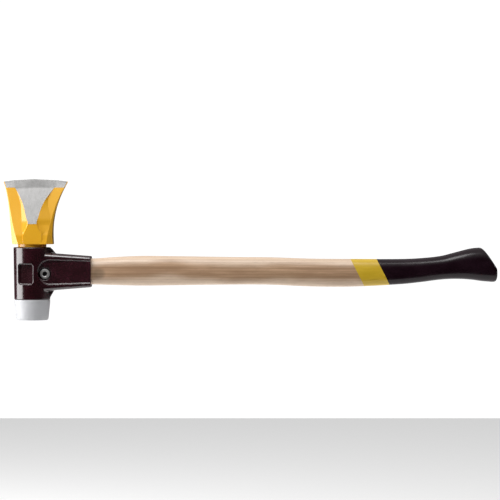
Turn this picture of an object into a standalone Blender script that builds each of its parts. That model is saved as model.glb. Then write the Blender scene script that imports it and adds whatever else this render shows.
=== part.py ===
"""Splitting maul with a two-part clamped head, a forged wedge, a plastic striking insert and a wooden handle.

Frame: +X along the handle, +Z from the striking face to the cutting edge, Y through the thickness.
The origin lies on the striking face, 0.8 mm from the head axis. All lengths are in metres.
"""

import math

import bmesh
import bpy
from mathutils import Matrix, Vector

# ---------------------------------------------------------------- driving dimensions
GAP = 0.0003
PARTING = 0.0015

HEAD_X = -0.0008
HOUSING_BOTTOM = 0.0348
HOUSING_TOP = 0.1230
HOUSING_RADIUS_BOTTOM = 0.0303
HOUSING_RADIUS_TOP = 0.0316
BORE_RADIUS = 0.0148

TUBE_MOUTH = 0.0992
TUBE_START = 0.0
TUBE_HALF_HEIGHT = (0.0338, 0.0261)
TUBE_HALF_WIDTH = (0.0250, 0.0222)
TUBE_MIDDLE = (0.0814, 0.0817)
TUBE_POWER = 8.0

PANEL_DEPTH_Y = 0.0204
PANEL_END_X = 0.0310
PANEL_END_RADIUS = 0.0210
PANEL_MOUTH_HALF = 0.0185
PANEL_MIDDLE = 0.0816

PAD_ANGLE = math.radians(-20.0)
PAD_FLAT = 0.0240
PAD_WIDTH = 0.0270
PAD_HEIGHT = 0.0345
PAD_MIDDLE = 0.0783
PAD_CORNER = 0.0045

GUSSET_HALF = 0.0055

SCREW_X = 0.0215
SCREW_Z = 0.0786
SCREW_RADIUS = 0.0050
SCREW_HOLE = 0.0054
SCREW_TIP_Y = 0.0200
HEAD_RADIUS = 0.0082
HEAD_HEIGHT = 0.0070
HEAD_FACE_Y = -0.0203
HEX_FLATS = 0.0080
HEX_DEPTH = 0.0048
COUNTERBORE_RADIUS = 0.0106
COUNTERBORE_FLOOR = -0.0105
WASHER_RADIUS = 0.0090
WASHER_THICK = 0.0022
WASHER_SLOT = 0.0012
NUT_FLATS = 0.0170
NUT_HEIGHT = 0.0084
NUT_FLOOR = 0.0105

SHANK_RADIUS = 0.0145
NECK_RADIUS = 0.0239
WEDGE_SHANK_END = 0.0840
WEDGE_BASE = 0.1284
WEDGE_CENTRE = 0.0020
NOTCH_Z = 0.1434
RIDGE_FOOT_Z = 0.1624
BAND_Z = 0.2237
EDGE_PEAK = 0.2381
EDGE_RADIUS = 0.3540
EDGE_CENTRE_X = 0.0050
EDGE_HALF_THICK = 0.0003
BAND_HALF_THICK = 0.0046
FOOT_HALF_THICK = 0.0278
BASE_HALF_THICK = 0.0268
NOTCH_HALF_THICK = 0.0258

INSERT_TOP = 0.0345
INSERT_SHANK_END = 0.0760
INSERT_RADIUS = 0.0303
INSERT_FACE_RADIUS = 0.0272

HANDLE_ROOT = 0.0345
HANDLE_END = 0.7688
HANDLE_POWER = 2.35
HANDLE_SEGMENTS = 32
BAND_START = 0.5485
BAND_END = 0.5922
COAT = 0.0006
END_ROUND = 0.0045
END_BULGE = 0.0124
END_BULGE_AT = 0.38
BAND_SLANT = 0.5085
END_SLANT = 0.3930

# One row per bend of the handle: position, upper line, lower line, half thickness.
HANDLE_BENDS = (
    (0.034, 0.1057, 0.0573, 0.0162),
    (0.100, 0.1040, 0.0600, 0.0150),
    (0.135, 0.1062, 0.0592, 0.0152),
    (0.182, 0.1083, 0.0581, 0.0156),
    (0.240, 0.1079, 0.0587, 0.0156),
    (0.335, 0.1065, 0.0599, 0.0152),
    (0.402, 0.1060, 0.0596, 0.0150),
    (0.470, 0.1038, 0.0567, 0.0148),
    (0.537, 0.1032, 0.0564, 0.0148),
    (0.622, 0.1032, 0.0605, 0.0150),
    (0.656, 0.1047, 0.0640, 0.0155),
    (0.689, 0.1083, 0.0682, 0.0165),
    (0.715, 0.1148, 0.0694, 0.0175),
    (0.740, 0.1210, 0.0682, 0.0185),
    (0.760, 0.1226, 0.0656, 0.0187),
    (0.790, 0.1222, 0.0634, 0.0183),
)

for old in list(bpy.data.objects):
    bpy.data.objects.remove(old, do_unlink=True)

parts = bpy.data.collections.new("splitting_maul")
tools = bpy.data.collections.new("cutters")
bpy.context.scene.collection.children.link(parts)
bpy.context.scene.collection.children.link(tools)


# ---------------------------------------------------------------- helpers
def material(name, colour, roughness, metallic):
    """A plain Principled material."""
    made = bpy.data.materials.new(name)
    made.use_nodes = True
    shader = made.node_tree.nodes["Principled BSDF"]
    shader.inputs["Base Color"].default_value = (*colour, 1.0)
    shader.inputs["Roughness"].default_value = roughness
    shader.inputs["Metallic"].default_value = metallic
    return made


def place(name, bm, collection, origin=(0.0, 0.0, 0.0)):
    """Turn a bmesh in world coordinates into an object whose origin is at the given point."""
    bmesh.ops.remove_doubles(bm, verts=bm.verts, dist=1e-7)
    bmesh.ops.recalc_face_normals(bm, faces=bm.faces)
    bmesh.ops.translate(bm, verts=bm.verts, vec=-Vector(origin))
    mesh = bpy.data.meshes.new(name)
    bm.to_mesh(mesh)
    bm.free()
    made = bpy.data.objects.new(name, mesh)
    made.location = origin
    collection.objects.link(made)
    return made


def tool(name, bm):
    """A hidden shape used by a Boolean."""
    made = place(name, bm, tools)
    made.hide_render = True
    made.display_type = "WIRE"
    return made


def part(name, bm, look, origin=(0.0, 0.0, 0.0), sharp=32.0):
    """A visible piece, shaded smooth across its round faces."""
    made = place(name, bm, parts, origin)
    made.data.materials.append(look)
    made.data.shade_smooth()
    made.data.set_sharp_from_angle(angle=math.radians(sharp))
    return made


def boolean(target, other, operation):
    """Add an exact Boolean to a piece."""
    step = target.modifiers.new(operation.lower() + "_" + other.name, "BOOLEAN")
    step.operation = operation
    step.solver = "EXACT"
    step.object = other


def cylinder(radius, start, end, segments=48):
    """A cylinder between two points."""
    bm = bmesh.new()
    span = Vector(end) - Vector(start)
    bmesh.ops.create_cone(
        bm, cap_ends=True, segments=segments, radius1=radius, radius2=radius, depth=span.length
    )
    turn = span.to_track_quat("Z", "Y").to_matrix().to_4x4()
    middle = (Vector(start) + Vector(end)) / 2.0
    bmesh.ops.transform(bm, verts=bm.verts, matrix=Matrix.Translation(middle) @ turn)
    return bm


def block(low, high):
    """A box between two corners."""
    bm = bmesh.new()
    bmesh.ops.create_cube(bm, size=1.0)
    low = Vector(low)
    high = Vector(high)
    bmesh.ops.scale(bm, verts=bm.verts, vec=high - low)
    bmesh.ops.translate(bm, verts=bm.verts, vec=(low + high) / 2.0)
    return bm


def prism(outline, y_low, y_high):
    """An XZ outline pushed along Y."""
    bm = bmesh.new()
    face = bm.faces.new([bm.verts.new((x, y_low, z)) for x, z in outline])
    pushed = bmesh.ops.extrude_face_region(bm, geom=[face])
    moved = [item for item in pushed["geom"] if isinstance(item, bmesh.types.BMVert)]
    bmesh.ops.translate(bm, verts=moved, vec=(0.0, y_high - y_low, 0.0))
    return bm


def arc(x, z, radius, first, last, count):
    """Points of an arc in the XZ plane, angles in degrees from +X towards +Z."""
    steps = [math.radians(first + (last - first) * i / (count - 1)) for i in range(count)]
    return [(x + radius * math.cos(a), z + radius * math.sin(a)) for a in steps]


def oval(power, half_y, half_z, count):
    """Offsets of a rounded section, from the top round the +Y side and back."""
    points = []
    for i in range(count):
        angle = 2.0 * math.pi * i / count
        up = math.cos(angle)
        side = math.sin(angle)
        y = math.copysign(abs(side) ** (2.0 / power), side) * half_y
        z = math.copysign(abs(up) ** (2.0 / power), up) * half_z
        points.append((y if abs(side) > 1e-9 else 0.0, z if abs(up) > 1e-9 else 0.0))
    return points


def add_ring(bm, points):
    return [bm.verts.new(p) for p in points]


def bridge(bm, first, second):
    """Quads between two rings of the same length."""
    count = len(first)
    for i in range(count):
        j = (i + 1) % count
        bm.faces.new((first[i], first[j], second[j], second[i]))


def cap(bm, ring):
    """Close a ring that is mirrored in Y with strips across it."""
    count = len(ring)
    half = count // 2
    bm.faces.new((ring[0], ring[1], ring[count - 1]))
    for i in range(1, half - 1):
        bm.faces.new((ring[i], ring[i + 1], ring[count - i - 1], ring[count - i]))
    bm.faces.new((ring[half - 1], ring[half], ring[half + 1]))


def loft(rings):
    """A closed solid through mirrored rings."""
    bm = bmesh.new()
    made = [add_ring(bm, r) for r in rings]
    for first, second in zip(made, made[1:]):
        bridge(bm, first, second)
    cap(bm, made[0])
    cap(bm, made[-1])
    return bm


def turned(name, profile, look, steps, collection=parts):
    """A Screw-modifier solid about its own Z; the profile runs down the outer side."""
    mesh = bpy.data.meshes.new(name)
    points = [(r, 0.0, z) for r, z in profile]
    mesh.from_pydata(points, [(i, i + 1) for i in range(len(points) - 1)], [])
    made = bpy.data.objects.new(name, mesh)
    collection.objects.link(made)
    screw = made.modifiers.new("turn", "SCREW")
    screw.axis = "Z"
    screw.angle = 2.0 * math.pi
    screw.steps = steps
    screw.render_steps = steps
    screw.use_merge_vertices = True
    screw.merge_threshold = 0.0001
    screw.use_smooth_shade = True
    if look is not None:
        mesh.materials.append(look)
    return made


def mix(a, b, t):
    return a + (b - a) * t


def ease(a, b, x):
    """Smooth step from 0 at a to 1 at b."""
    t = min(1.0, max(0.0, (x - a) / (b - a)))
    return t * t * (3.0 - 2.0 * t)


def through(knots, x, column):
    """Smooth curve through one column of a list of bends."""
    i = 0
    while i < len(knots) - 2 and x > knots[i + 1][0]:
        i += 1

    def slope(j):
        before = max(0, j - 1)
        after = min(len(knots) - 1, j + 1)
        return (knots[after][column] - knots[before][column]) / (knots[after][0] - knots[before][0])

    span = knots[i + 1][0] - knots[i][0]
    t = min(1.0, max(0.0, (x - knots[i][0]) / span))
    a = knots[i][column]
    b = knots[i + 1][column]
    m = slope(i) * span
    n = slope(i + 1) * span
    return (
        (2 * t**3 - 3 * t**2 + 1) * a
        + (t**3 - 2 * t**2 + t) * m
        + (3 * t**2 - 2 * t**3) * b
        + (t**3 - t**2) * n
    )


# ---------------------------------------------------------------- handle sections
def slant(s):
    """How far a section leans: metres towards the head per metre upwards."""
    rise = BAND_SLANT * ease(0.470, BAND_START, s)
    return rise + (END_SLANT - BAND_SLANT) * ease(BAND_END, HANDLE_END, s)


def bulge(u):
    """Outline of the butt, 0 at the lower corner and 0 at the upper one."""
    if u < END_BULGE_AT:
        return END_BULGE * max(0.0, u / END_BULGE_AT) ** 0.5
    return END_BULGE * max(0.0, (1.0 - u) / (1.0 - END_BULGE_AT)) ** 0.6


def handle_ring(s, inset, squeeze=0.0):
    """One section of the handle, drawn in by inset and rounded off by squeeze."""
    lean = slant(s)
    bottom = through(HANDLE_BENDS, s, 2)
    top = through(HANDLE_BENDS, s, 1)
    middle = (top + bottom) / 2.0
    for _ in range(8):
        top = through(HANDLE_BENDS, s - lean * (top - middle), 1)
        bottom = through(HANDLE_BENDS, s - lean * (bottom - middle), 2)
    centre = (top + bottom) / 2.0
    half = (top - bottom) / 2.0 - inset - 0.4 * squeeze
    thick = through(HANDLE_BENDS, s, 3) - inset - squeeze
    weight = ease(0.735, HANDLE_END, s)
    points = []
    for y, z in oval(HANDLE_POWER, thick, half, HANDLE_SEGMENTS):
        u = (z / half + 1.0) / 2.0
        points.append((s - lean * (centre + z - middle) + weight * bulge(u), y, centre + z))
    return points


def handle_rings(start, end, inset, spacing):
    """Sections from one place to another; the butt is rounded when the run reaches it."""
    reaches_butt = end >= HANDLE_END - 1e-6
    stop = end - END_ROUND if reaches_butt else end
    count = max(2, int(math.ceil((stop - start) / spacing)) + 1)
    rings = [handle_ring(mix(start, stop, i / (count - 1)), inset) for i in range(count)]
    if reaches_butt:
        for i in range(1, 4):
            angle = math.radians(90.0 * i / 3.0)
            forward = (END_ROUND - inset) * math.sin(angle)
            rings.append(handle_ring(stop + forward, inset, END_ROUND * (1.0 - math.cos(angle))))
    return rings


def skin(outer, inner, closed_end):
    """A thin sleeve between two runs of sections, or a cup when the far end is closed."""
    bm = bmesh.new()
    outside = [add_ring(bm, r) for r in outer]
    inside = [add_ring(bm, r) for r in inner]
    for run in (outside, inside):
        for first, second in zip(run, run[1:]):
            bridge(bm, first, second)
    bridge(bm, outside[0], inside[0])
    if closed_end:
        cap(bm, outside[-1])
        cap(bm, inside[-1])
    else:
        bridge(bm, outside[-1], inside[-1])
    return bm


# ---------------------------------------------------------------- materials
housing_paint = material("housing_paint", (0.024, 0.004, 0.008), 0.32, 0.1)
wedge_paint = material("wedge_paint", (0.93, 0.52, 0.05), 0.35, 0.0)
insert_plastic = material("insert_plastic", (0.84, 0.85, 0.88), 0.45, 0.0)
hickory = material("hickory", (0.74, 0.53, 0.34), 0.5, 0.0)
band_paint = material("band_paint", (0.72, 0.47, 0.04), 0.35, 0.0)
grip_paint = material("grip_paint", (0.016, 0.008, 0.012), 0.3, 0.0)
zinc = material("zinc", (0.45, 0.48, 0.50), 0.4, 1.0)
spring_steel = material("spring_steel", (0.25, 0.26, 0.28), 0.4, 1.0)
nut_steel = material("nut_steel", (0.42, 0.44, 0.46), 0.42, 1.0)


# ---------------------------------------------------------------- housing
def housing_block():
    """The cylindrical head block."""
    bm = bmesh.new()
    bmesh.ops.create_cone(
        bm,
        cap_ends=True,
        segments=72,
        radius1=HOUSING_RADIUS_BOTTOM,
        radius2=HOUSING_RADIUS_TOP,
        depth=HOUSING_TOP - HOUSING_BOTTOM,
    )
    bmesh.ops.translate(bm, verts=bm.verts, vec=(HEAD_X, 0.0, (HOUSING_TOP + HOUSING_BOTTOM) / 2.0))
    return bm


def tube_ring(x):
    t = (x - TUBE_START) / (TUBE_MOUTH - TUBE_START)
    middle = mix(*TUBE_MIDDLE, t)
    shape = oval(TUBE_POWER, mix(*TUBE_HALF_WIDTH, t), mix(*TUBE_HALF_HEIGHT, t), 56)
    return [(x, y, middle + z) for y, z in shape]


def panel_outline():
    """Side panel: a round end about the screw and straight walls to the mouth."""
    points = arc(PANEL_END_X, PANEL_MIDDLE, PANEL_END_RADIUS, 92.0, 268.0, 25)
    points.append((TUBE_MOUTH + 0.006, PANEL_MIDDLE - PANEL_MOUTH_HALF))
    points.append((TUBE_MOUTH + 0.006, PANEL_MIDDLE + PANEL_MOUTH_HALF))
    return points


def pad_cutter(name, side):
    """A flat-floored pocket with round corners, turned about the head axis."""
    half_w = PAD_WIDTH / 2.0 - PAD_CORNER
    half_h = PAD_HEIGHT / 2.0 - PAD_CORNER
    outline = []
    corners = ((half_w, half_h, 0.0), (-half_w, half_h, 90.0), (-half_w, -half_h, 180.0), (half_w, -half_h, 270.0))
    for x, z, first in corners:
        outline += arc(x, z, PAD_CORNER, first, first + 90.0, 6)
    bm = prism(outline, -0.040, -PAD_FLAT)
    turn = Matrix.Rotation(PAD_ANGLE, 4, "Z")
    mirror = Matrix.Scale(side, 4, (0.0, 1.0, 0.0))
    shift = Matrix.Translation((HEAD_X, 0.0, PAD_MIDDLE))
    bmesh.ops.transform(bm, verts=bm.verts, matrix=mirror @ shift @ turn)
    return tool(name, bm)


tube = tool("tube_solid", loft([tube_ring(x) for x in (TUBE_START, 0.033, 0.066, TUBE_MOUTH)]))
upper_rib = [(0.0240, 0.1215), (0.0325, 0.1205), (0.0400, 0.1110), (0.0240, 0.1060)]
lower_rib = [(0.0200, 0.0365), (0.0285, 0.0365), (0.0370, 0.0515), (0.0200, 0.0560)]
rib_top = tool("rib_top_solid", prism(upper_rib, -GUSSET_HALF, GUSSET_HALF))
rib_low = tool("rib_low_solid", prism(lower_rib, -GUSSET_HALF, GUSSET_HALF))
bore = tool("bore_cut", cylinder(BORE_RADIUS, (HEAD_X, 0.0, 0.020), (HEAD_X, 0.0, 0.140)))
cavity_runs = handle_rings(HANDLE_ROOT - GAP, TUBE_MOUTH + 0.008, -GAP, 0.0145)
cavity = tool("handle_socket_cut", loft(cavity_runs))
panel_near = tool("panel_near_cut", prism(panel_outline(), -0.045, -PANEL_DEPTH_Y))
panel_far = tool("panel_far_cut", prism(panel_outline(), PANEL_DEPTH_Y, 0.045))
pad_near = pad_cutter("pad_near_cut", 1.0)
pad_far = pad_cutter("pad_far_cut", -1.0)
hole = tool("screw_hole_cut", cylinder(SCREW_HOLE, (SCREW_X, -0.05, SCREW_Z), (SCREW_X, 0.05, SCREW_Z), 32))
sink_points = ((SCREW_X, -0.05, SCREW_Z), (SCREW_X, COUNTERBORE_FLOOR, SCREW_Z))
sink = tool("counterbore_cut", cylinder(COUNTERBORE_RADIUS, *sink_points, 40))
nut_points = ((SCREW_X, NUT_FLOOR, SCREW_Z), (SCREW_X, 0.05, SCREW_Z))
nut_sink = tool("nut_pocket_cut", cylinder(NUT_FLATS / math.sqrt(3.0) + GAP * 1.3, *nut_points, 6))
near_side = tool("near_side_keep", block((-0.06, -0.05, 0.0), (0.12, -PARTING / 2.0, 0.16)))
far_side = tool("far_side_keep", block((-0.06, PARTING / 2.0, 0.0), (0.12, 0.05, 0.16)))

near_half = part("housing_near_half", housing_block(), housing_paint)
far_half = part("housing_far_half", housing_block(), housing_paint)
sides = (
    (near_half, near_side, (panel_near, pad_near, hole, sink)),
    (far_half, far_side, (panel_far, pad_far, hole, nut_sink)),
)
for half, keep, own_cuts in sides:
    for added in (tube, rib_top, rib_low):
        boolean(half, added, "UNION")
    for cut in (bore, cavity) + own_cuts:
        boolean(half, cut, "DIFFERENCE")
    boolean(half, keep, "INTERSECT")


# ---------------------------------------------------------------- clamp screw, washer and nut
facing_out = Matrix.Rotation(math.radians(90.0), 4, "X")
head_profile = [
    (0.0, 0.0),
    (HEAD_RADIUS - 0.0008, 0.0),
    (HEAD_RADIUS, -0.0008),
    (HEAD_RADIUS, -HEAD_HEIGHT),
    (SCREW_RADIUS, -HEAD_HEIGHT),
    (SCREW_RADIUS, HEAD_FACE_Y - SCREW_TIP_Y + 0.0009),
    (SCREW_RADIUS - 0.0009, HEAD_FACE_Y - SCREW_TIP_Y),
    (0.0, HEAD_FACE_Y - SCREW_TIP_Y),
]
screw = turned("clamp_screw", head_profile, zinc, 36)
screw.location = (SCREW_X, HEAD_FACE_Y, SCREW_Z)
screw.rotation_euler = facing_out.to_euler()
key_points = ((SCREW_X, HEAD_FACE_Y - 0.004, SCREW_Z), (SCREW_X, HEAD_FACE_Y + HEX_DEPTH, SCREW_Z))
key_socket = tool("key_socket_cut", cylinder(HEX_FLATS / math.sqrt(3.0), *key_points, 6))
boolean(screw, key_socket, "DIFFERENCE")

washer_y = COUNTERBORE_FLOOR - GAP
washer_bm = cylinder(WASHER_RADIUS, (SCREW_X, washer_y - WASHER_THICK, SCREW_Z), (SCREW_X, washer_y, SCREW_Z), 36)
washer = part("lock_washer", washer_bm, spring_steel, (SCREW_X, washer_y, SCREW_Z))
washer_eye = tool("washer_eye_cut", cylinder(SCREW_HOLE, (SCREW_X, -0.03, SCREW_Z), (SCREW_X, 0.0, SCREW_Z), 32))
slot_low = (SCREW_X - WASHER_SLOT / 2.0, -0.03, SCREW_Z)
slot_high = (SCREW_X + WASHER_SLOT / 2.0, 0.0, SCREW_Z + 0.02)
washer_slot = tool("washer_slot_cut", block(slot_low, slot_high))
boolean(washer, washer_eye, "DIFFERENCE")
boolean(washer, washer_slot, "DIFFERENCE")

nut_y = NUT_FLOOR + GAP
nut_bm = cylinder(NUT_FLATS / math.sqrt(3.0), (SCREW_X, nut_y, SCREW_Z), (SCREW_X, nut_y + NUT_HEIGHT, SCREW_Z), 6)
nut = part("clamp_nut", nut_bm, nut_steel, (SCREW_X, nut_y, SCREW_Z))
nut_eye_points = ((SCREW_X, 0.0, SCREW_Z), (SCREW_X, 0.03, SCREW_Z))
nut_eye = tool("nut_eye_cut", cylinder(SCREW_RADIUS + GAP, *nut_eye_points, 32))
boolean(nut, nut_eye, "DIFFERENCE")


# ---------------------------------------------------------------- splitting wedge
def left_side(z):
    """Straight flank, flaring a little towards the toe."""
    t = (z - WEDGE_BASE) / (EDGE_PEAK - WEDGE_BASE)
    return -0.0332 - 0.0095 * t - 0.0074 * t**4.0


def right_side(z):
    """Hollow flank, sweeping out towards the heel."""
    t = (z - WEDGE_BASE) / (EDGE_PEAK - WEDGE_BASE)
    return 0.0350 - 0.0098 * t + 0.0380 * t**2.15


def ridge_edges(z):
    """Half widths of the raised centre face, left and right; below its foot, of the facet under it."""
    t = (z - RIDGE_FOOT_Z) / (BAND_Z - RIDGE_FOOT_Z)
    if t < 0.0:
        low = max(0.0, (z - NOTCH_Z) / (RIDGE_FOOT_Z - NOTCH_Z))
        return mix(0.0165, 0.0086, low), mix(0.0148, 0.0064, low)
    left = 0.0086 + 0.0150 * t + 0.0080 * t**3.5
    right = 0.0064 + 0.0145 * t + 0.0140 * t**2.8
    return left, right


def flute_lines(z):
    """Half widths of the bottom lines of the two flutes beside the raised face."""
    left = 0.0168 + 0.0038 * ease(NOTCH_Z, 0.190, z)
    right = mix(0.0151, 0.0292, ease(0.1400, 0.1660, z))
    right = mix(right, 0.0246, ease(0.173, 0.200, z))
    return left, right


def centre_half(z):
    """Half thickness on the centre line."""
    if z < RIDGE_FOOT_Z:
        return mix(BASE_HALF_THICK, FOOT_HALF_THICK, (z - WEDGE_BASE) / (RIDGE_FOOT_Z - WEDGE_BASE))
    return mix(FOOT_HALF_THICK, BAND_HALF_THICK, (z - RIDGE_FOOT_Z) / (BAND_Z - RIDGE_FOOT_Z))


def cheek_half(z):
    """Half thickness of the painted cheeks: a short upright base, then one straight slope."""
    if z < NOTCH_Z:
        return mix(BASE_HALF_THICK, NOTCH_HALF_THICK, (z - WEDGE_BASE) / (NOTCH_Z - WEDGE_BASE))
    return mix(NOTCH_HALF_THICK, BAND_HALF_THICK, (z - NOTCH_Z) / (BAND_Z - NOTCH_Z))


def wedge_ring(z):
    """One level section of the painted part, from the -X flank round the -Y face and back."""
    chamfer = 0.0012 + 0.0095 * max(0.0, (BAND_Z - z) / (BAND_Z - WEDGE_BASE)) ** 2.6
    left = left_side(z)
    right = right_side(z)
    top = centre_half(z)
    rim = min(top, cheek_half(z))
    rooms = (WEDGE_CENTRE - left - chamfer - 0.0006, right - chamfer - WEDGE_CENTRE - 0.0006)
    wall = 0.0013 * ease(NOTCH_Z, NOTCH_Z + 0.006, z) * (1.0 - ease(RIDGE_FOOT_Z, RIDGE_FOOT_Z + 0.004, z))
    fall = ease(NOTCH_Z, NOTCH_Z + 0.008, z) * (1.0 - ease(RIDGE_FOOT_Z - 0.002, RIDGE_FOOT_Z + 0.008, z))
    halves = []
    for edge, line, room in zip(ridge_edges(z), flute_lines(z), rooms):
        line = min(max(line, edge + 0.0003), room)
        foot = min(edge + 0.0002 + wall, line - 0.0001)
        share = (line - foot) / max(1e-6, line - edge)
        halves.append((edge, foot, line, mix(rim, top, share * (1.0 - 0.45 * fall))))
    (edge_l, foot_l, line_l, depth_l), (edge_r, foot_r, line_r, depth_r) = halves
    face = [
        (left, rim - 0.85 * chamfer),
        (left + chamfer, rim),
        (WEDGE_CENTRE - line_l, rim),
        (WEDGE_CENTRE - foot_l, depth_l),
        (WEDGE_CENTRE - edge_l, top),
        (WEDGE_CENTRE, top),
        (WEDGE_CENTRE + edge_r, top),
        (WEDGE_CENTRE + foot_r, depth_r),
        (WEDGE_CENTRE + line_r, rim),
        (right - chamfer, rim),
        (right, rim - 0.85 * chamfer),
    ]
    near = [(x, -y, z) for x, y in face]
    far = [(x, y, z) for x, y in reversed(face)]
    return near + far


def edge_ring(t):
    """One section of the ground edge, from the band line (0) to the cutting edge (1)."""
    start = wedge_ring(BAND_Z)
    points = []
    for x, y, _ in start:
        side = left_side(EDGE_PEAK - 0.0037) if x < WEDGE_CENTRE else right_side(EDGE_PEAK - 0.0049)
        base = left_side(BAND_Z) if x < WEDGE_CENTRE else right_side(BAND_Z)
        reach = (x - WEDGE_CENTRE) / (base - WEDGE_CENTRE)
        top_x = WEDGE_CENTRE + reach * (side - WEDGE_CENTRE)
        top_z = EDGE_PEAK - (top_x - EDGE_CENTRE_X) ** 2 / (2.0 * EDGE_RADIUS)
        thick = mix(abs(y), EDGE_HALF_THICK, t)
        points.append((mix(x, top_x, t), math.copysign(thick, y), mix(BAND_Z, top_z, t)))
    return points


levels = [WEDGE_BASE, 0.1330, 0.1385, NOTCH_Z, 0.1480, 0.1530, 0.1580, RIDGE_FOOT_Z]
levels += [mix(RIDGE_FOOT_Z, BAND_Z, i / 9.0) for i in range(1, 10)]
wedge_bm = bmesh.new()
wedge_rings = [add_ring(wedge_bm, wedge_ring(z)) for z in levels]
wedge_rings += [add_ring(wedge_bm, edge_ring(t)) for t in (0.34, 0.67, 1.0)]
for lower_ring, upper_ring in zip(wedge_rings, wedge_rings[1:]):
    bridge(wedge_bm, lower_ring, upper_ring)
for end_ring in (wedge_rings[0], wedge_rings[-1]):
    for i in range(10):
        wedge_bm.faces.new((end_ring[i], end_ring[i + 1], end_ring[20 - i], end_ring[21 - i]))
wedge = part("splitting_wedge", wedge_bm, wedge_paint, sharp=12.0)
neck_profile = [
    (0.0, WEDGE_BASE + 0.004),
    (NECK_RADIUS, WEDGE_BASE + 0.004),
    (NECK_RADIUS, HOUSING_TOP + GAP),
    (SHANK_RADIUS, HOUSING_TOP + GAP),
    (SHANK_RADIUS, WEDGE_SHANK_END + 0.001),
    (SHANK_RADIUS - 0.001, WEDGE_SHANK_END),
    (0.0, WEDGE_SHANK_END),
]
neck = turned("neck_solid", neck_profile, None, 48, tools)
neck.location.x = HEAD_X
neck.hide_render = True
neck.display_type = "WIRE"
boolean(wedge, neck, "UNION")


# ---------------------------------------------------------------- striking insert
insert_profile = [
    (0.0, INSERT_SHANK_END),
    (SHANK_RADIUS - 0.001, INSERT_SHANK_END),
    (SHANK_RADIUS, INSERT_SHANK_END - 0.001),
    (SHANK_RADIUS, INSERT_TOP),
    (INSERT_RADIUS - 0.0008, INSERT_TOP),
    (INSERT_RADIUS, INSERT_TOP - 0.0010),
    (INSERT_RADIUS - 0.0002, INSERT_TOP - 0.0040),
    (mix(INSERT_RADIUS, INSERT_FACE_RADIUS, 0.45), 0.0160),
    (INSERT_FACE_RADIUS, 0.0034),
    (INSERT_FACE_RADIUS - 0.0009, 0.0012),
    (INSERT_FACE_RADIUS - 0.0030, 0.0),
    (0.0, 0.0),
]
insert = turned("striking_insert", insert_profile, insert_plastic, 64)
insert.location.x = HEAD_X


# ---------------------------------------------------------------- handle, signal band and grip coating
shoulder = BAND_START - GAP
wood_rings = handle_rings(HANDLE_ROOT, 0.150, 0.0, 0.0145)
wood_rings += handle_rings(0.165, 0.465, 0.0, 0.025)
wood_rings += handle_rings(0.480, shoulder, 0.0, 0.0145)
wood_rings += handle_rings(shoulder, 0.665, COAT + GAP, 0.018)
wood_rings += handle_rings(0.677, HANDLE_END, COAT + GAP, 0.010)
part("handle", loft(wood_rings), hickory)

band_outer = handle_rings(BAND_START, BAND_END - GAP, 0.0, 0.0145)
band_inner = handle_rings(BAND_START, BAND_END - GAP, COAT, 0.0145)
part("signal_band", skin(band_outer, band_inner, False), band_paint)

coat_outer = handle_rings(BAND_END, 0.665, 0.0, 0.015) + handle_rings(0.676, HANDLE_END, 0.0, 0.009)
coat_inner = handle_rings(BAND_END, 0.665, COAT, 0.015) + handle_rings(0.676, HANDLE_END, COAT, 0.009)
part("grip_coating", skin(coat_outer, coat_inner, True), grip_paint)
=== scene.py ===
import math

import bmesh
import bpy
from mathutils import Matrix, Vector


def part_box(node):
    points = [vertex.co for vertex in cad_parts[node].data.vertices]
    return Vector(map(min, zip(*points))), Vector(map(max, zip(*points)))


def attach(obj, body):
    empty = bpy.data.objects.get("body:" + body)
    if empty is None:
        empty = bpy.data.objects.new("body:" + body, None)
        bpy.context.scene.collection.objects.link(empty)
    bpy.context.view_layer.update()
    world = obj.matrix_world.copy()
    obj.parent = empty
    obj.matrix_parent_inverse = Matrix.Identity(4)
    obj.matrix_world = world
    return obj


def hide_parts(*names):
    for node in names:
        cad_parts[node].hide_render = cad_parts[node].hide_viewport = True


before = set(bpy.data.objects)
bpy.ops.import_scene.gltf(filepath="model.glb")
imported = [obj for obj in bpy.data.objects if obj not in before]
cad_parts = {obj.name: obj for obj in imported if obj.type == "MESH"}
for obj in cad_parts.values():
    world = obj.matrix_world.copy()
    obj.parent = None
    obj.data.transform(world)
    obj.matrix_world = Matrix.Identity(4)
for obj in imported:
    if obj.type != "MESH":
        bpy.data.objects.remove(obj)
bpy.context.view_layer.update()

GAP = 0.0003

# ---------------------------------------------------------------- measures taken from the frame
HOUSING_LOW, HOUSING_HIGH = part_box("housing_near_half")
_, INSERT_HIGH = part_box("striking_insert")
WEDGE_LOW, WEDGE_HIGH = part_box("splitting_wedge")
SCREW_LOW, SCREW_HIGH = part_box("clamp_screw")
NUT_LOW, NUT_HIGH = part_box("clamp_nut")

HOUSING_BOTTOM = HOUSING_LOW.z
HOUSING_TOP = HOUSING_HIGH.z
HEAD_X = -0.0008
HOUSING_RADIUS_BOTTOM = 0.0303
HOUSING_RADIUS_TOP = 0.0316
BORE_RADIUS = 0.0148
PARTING = -2.0 * HOUSING_HIGH.y
TUBE_MOUTH = HOUSING_HIGH.x
TUBE_HALF_HEIGHT = (0.0338, 0.0261)
TUBE_HALF_WIDTH = (0.0250, 0.0222)
TUBE_MIDDLE = (0.0814, 0.0817)
TUBE_POWER = 8.0
PANEL_DEPTH_Y = 0.0204
PANEL_END_X = 0.0310
PANEL_END_RADIUS = 0.0210
PANEL_MOUTH_HALF = 0.0185
PANEL_MIDDLE = 0.0816
PAD_ANGLE = math.radians(-20.0)
PAD_FLAT = 0.0240
PAD_WIDTH = 0.0270
PAD_HEIGHT = 0.0345
PAD_MIDDLE = 0.0783
PAD_CORNER = 0.0045
GUSSET_HALF = 0.0055
SCREW_X = (SCREW_LOW.x + SCREW_HIGH.x) / 2.0
SCREW_Z = (SCREW_LOW.z + SCREW_HIGH.z) / 2.0
HEAD_FACE_Y = SCREW_LOW.y
SCREW_RADIUS = 0.0050
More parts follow.
